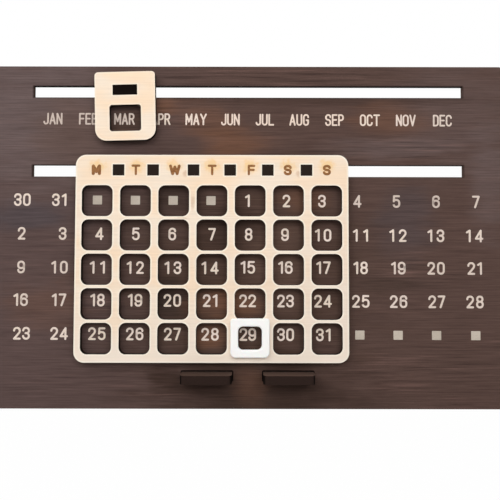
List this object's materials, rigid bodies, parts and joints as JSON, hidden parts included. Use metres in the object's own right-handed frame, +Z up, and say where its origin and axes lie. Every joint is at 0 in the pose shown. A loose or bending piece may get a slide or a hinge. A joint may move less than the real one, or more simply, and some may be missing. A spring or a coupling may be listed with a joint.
{
  "type": "perpetual desk calendar",
  "caption": "Wooden board leaning on a foot, with a month slider and a windowed date grid that slide in slots, and a white ring that marks the day.",
  "frame": {"origin": "middle of the board's bottom edge, where it stands on the desk", "axes": "+X along the board to the reader's right, +Z up; the front faces -Y and the board leans back towards +Y"},
  "size_m": [0.3, 0.0976, 0.1956],
  "materials": {
    "dark_wood": "dark stained wood, matt, with burnt cut edges",
    "light_wood": "pale bare wood, sanded, with burnt cut edges",
    "white_plastic": "white moulded plastic, satin",
    "print": "pale cream numbers and letters printed on the board"
  },
  "bodies": {
    "base": {"board": "dark_wood", "stand_foot": "dark_wood"},
    "month_slider": {"month_plate": "light_wood", "month_tongue": "dark_wood", "month_keeper": "dark_wood"},
    "date_slider": {"date_grid": "light_wood", "date_comb": "dark_wood", "date_keeper": "dark_wood"},
    "marker": {"day_marker": "white_plastic"}
  },
  "joints": [
    {"name": "month_slide", "type": "slide", "parent": "base", "child": "month_slider", "axis": [1, 0, 0], "range_m": [-0.04365, 0.1872]},
    {"name": "date_slide", "type": "slide", "parent": "base", "child": "date_slider", "axis": [1, 0, 0], "range_m": [-0.04685, 0.08835]},
    {"name": "marker_lift", "type": "slide", "parent": "date_slider", "child": "marker", "axis": [0, -0.9781, 0.2079], "range_m": [0, 0.02]}
  ]
}
